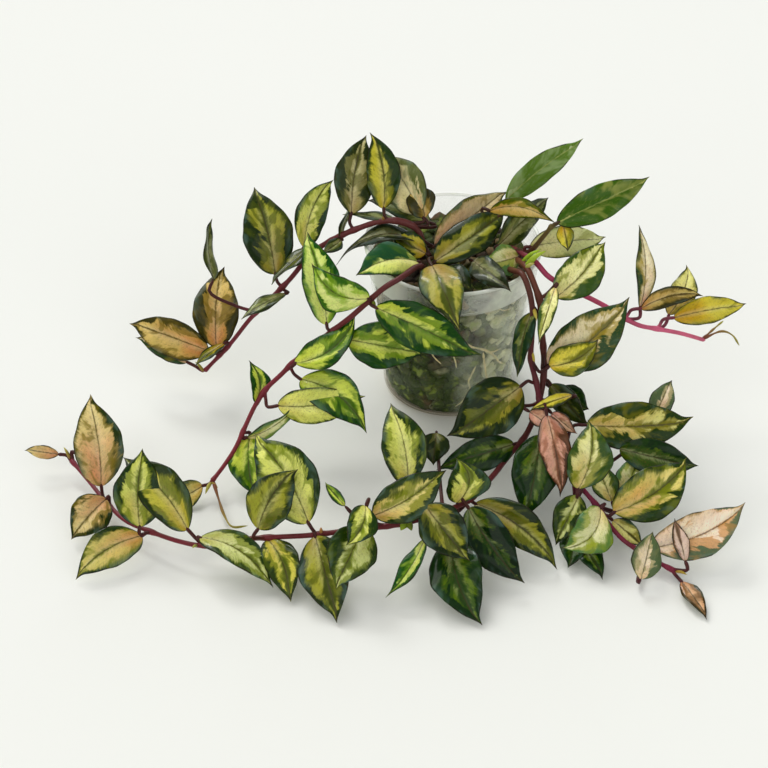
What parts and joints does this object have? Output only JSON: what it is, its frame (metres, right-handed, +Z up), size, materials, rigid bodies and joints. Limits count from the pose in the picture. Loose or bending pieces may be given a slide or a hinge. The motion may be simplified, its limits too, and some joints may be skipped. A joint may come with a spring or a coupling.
{
  "type": "potted trailing wax plant",
  "caption": "Trailing wax plant with pointed cream, green and pink leaves on burgundy stems that spill from a clear tapered nursery pot of bark mix",
  "frame": {"origin": "middle of the pot's foot, on the surface that it stands on", "axes": "+Z up, -Y towards the front where the vines trail, +X to the right seen from the front"},
  "size_m": [0.418, 0.2634, 0.1565],
  "materials": {
    "clear_pot": "clear, slightly frosted",
    "bark_mix": "rough damp bark chips with roots",
    "foliage": "waxy leaves in cream, lime, dark green and pink, burgundy stems"
  },
  "bodies": {
    "root": {"pot": "clear_pot", "potting_mix": "bark_mix", "vine_back_left": "foliage", "vine_front_left": "foliage", "vine_front_right": "foliage", "vine_back_right": "foliage", "crown_shoot": "foliage"}
  },
  "joints": []
}
